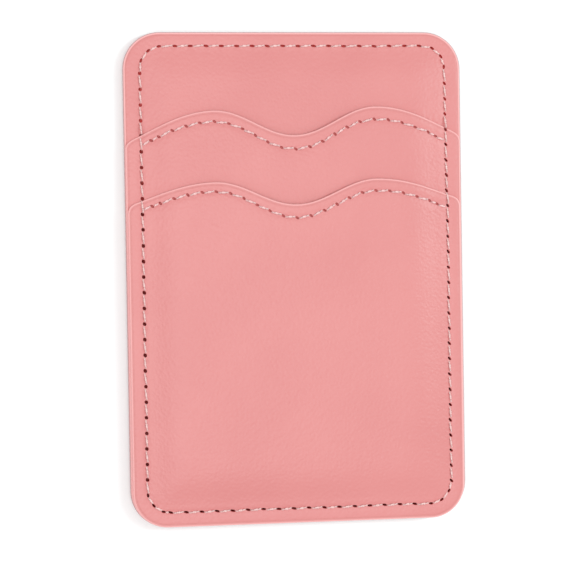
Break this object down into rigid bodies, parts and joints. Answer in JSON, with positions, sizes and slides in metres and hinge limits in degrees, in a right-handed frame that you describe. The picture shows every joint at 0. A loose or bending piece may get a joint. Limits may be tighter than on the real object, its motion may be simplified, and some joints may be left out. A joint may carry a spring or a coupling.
{
  "type": "stick-on phone card holder",
  "caption": "Flat soft card holder with overlapping wave-cut pockets sewn round the edge and a sticky back that fixes it to a phone.",
  "frame": {"origin": "middle of the underside, on the outer face of the release liner", "axes": "+X across the holder, +Y along it to the mouths of the pockets, +Z out of the front"},
  "size_m": [0.067, 0.097, 0.006],
  "materials": {
    "leather": "smooth coral pink imitation leather, fine grain, soft sheen",
    "thread": "twisted polyester sewing thread, pale pink",
    "board": "grey pressed board",
    "adhesive": "soft acrylic foam tape, off-white",
    "liner": "coated release paper"
  },
  "bodies": {
    "root": {"release_liner": "liner", "adhesive_pad": "adhesive", "back_panel": "leather", "stiffener_board": "board", "base_panel": "leather", "upper_pocket": "leather", "lower_pocket": "leather", "upper_hem_thread": "thread", "lower_hem_thread": "thread", "edge_seam_thread": "thread", "edge_bobbin_thread": "thread"}
  },
  "joints": []
}
